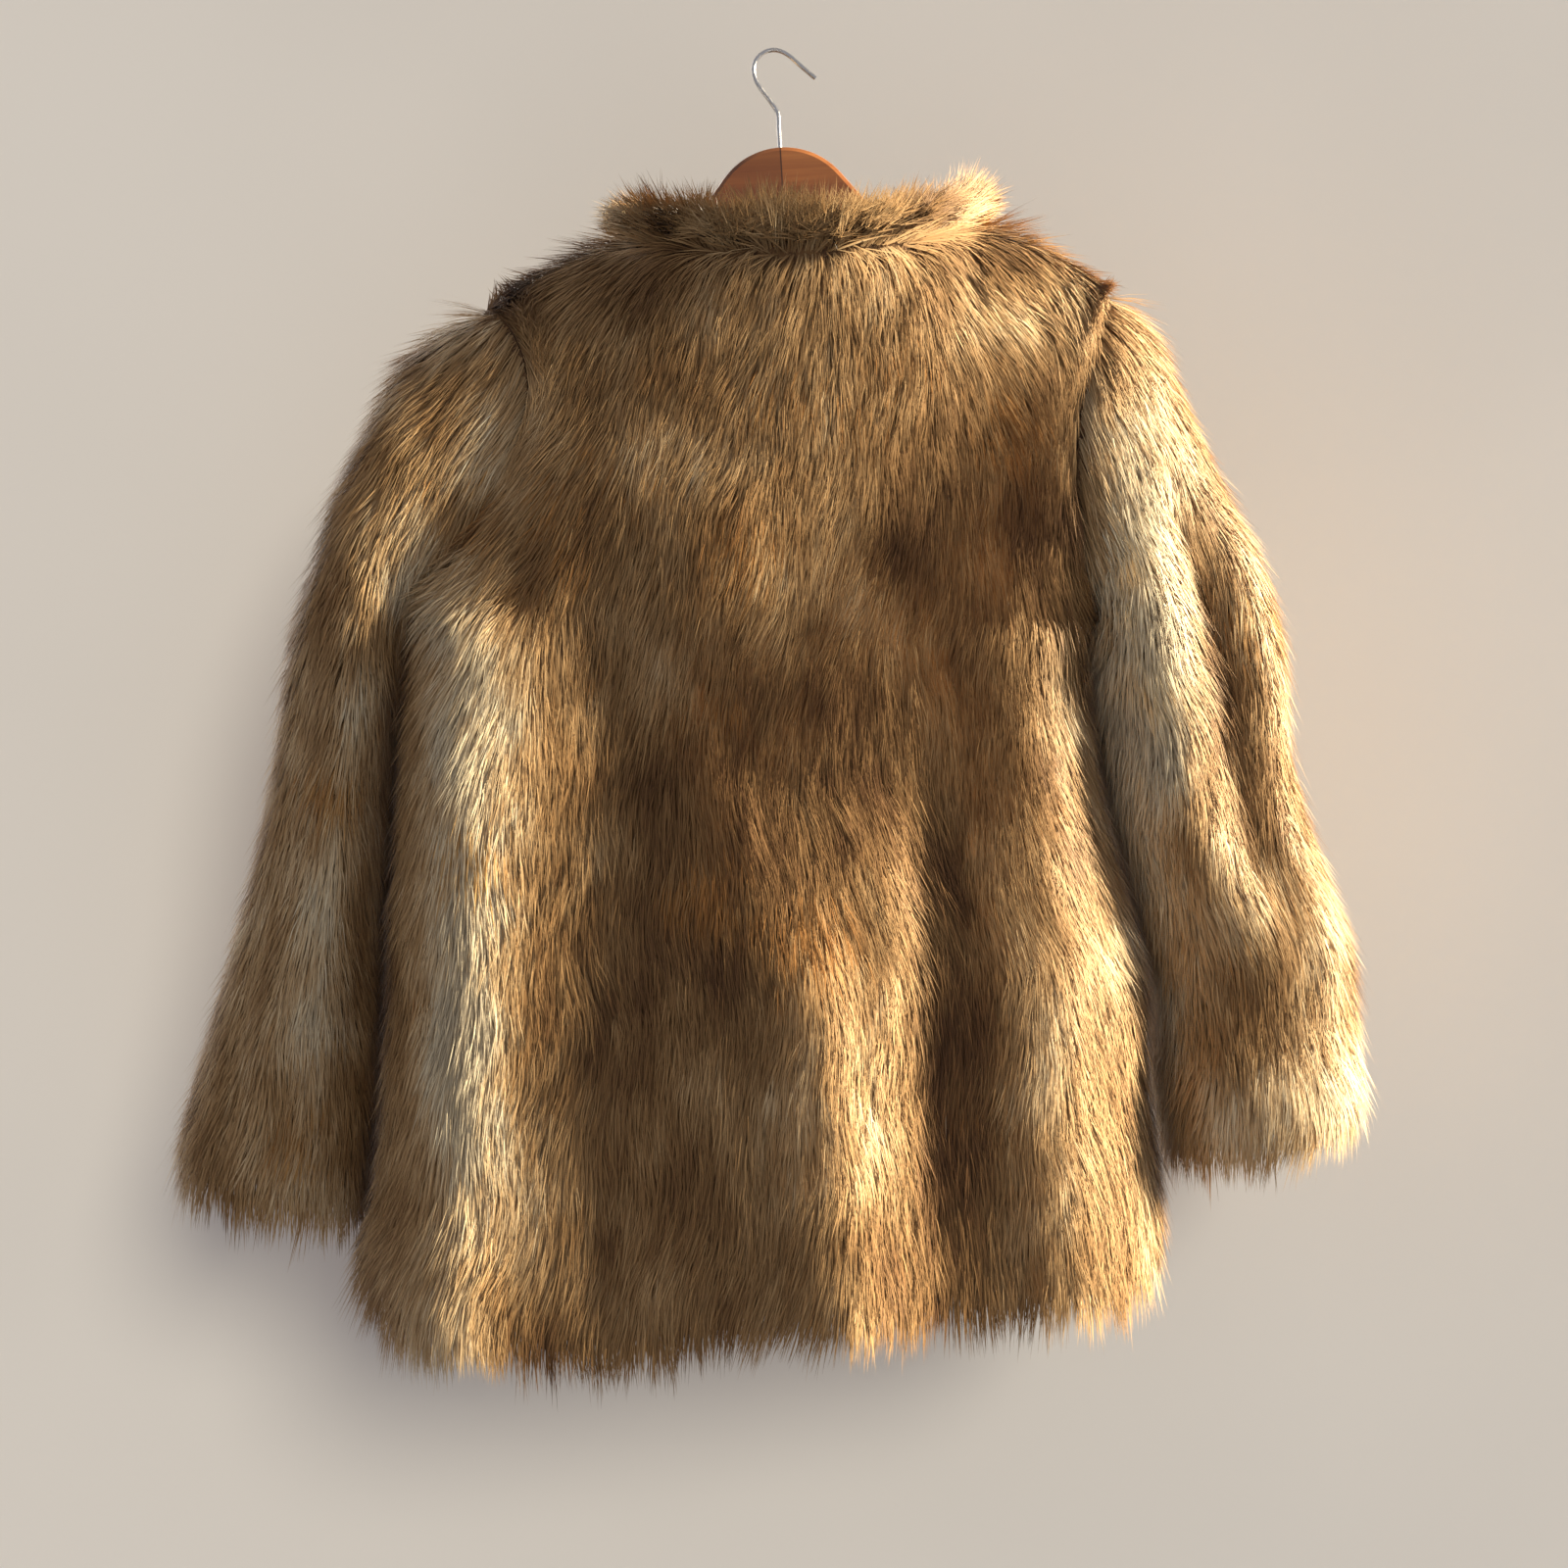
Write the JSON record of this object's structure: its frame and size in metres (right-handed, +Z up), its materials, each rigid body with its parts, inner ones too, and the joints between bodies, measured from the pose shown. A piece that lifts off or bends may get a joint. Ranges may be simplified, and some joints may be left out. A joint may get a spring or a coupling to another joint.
{
  "type": "faux fur jacket on a hanger",
  "caption": "Hip-length faux fur jacket with long sleeves and a narrow stand collar, hanging on a wooden hanger with a wire hook.",
  "frame": {"origin": "inside top of the hanger's hook, where a rail or peg holds it", "axes": "+Z up, +X to the wearer's right, +Y towards the front of the jacket, so its back faces -Y"},
  "size_m": [0.7242, 0.172, 0.7902],
  "materials": {
    "fur": "long soft pile, honey and tan with darker brown",
    "hanger_wood": "clear varnish over orange-brown wood",
    "hook_wire": "polished"
  },
  "bodies": {
    "root": {"back": "fur", "front_left": "fur", "front_right": "fur", "sleeve_left": "fur", "sleeve_right": "fur", "collar": "fur", "hanger_body": "hanger_wood", "hanger_hook": "hook_wire"}
  },
  "joints": []
}
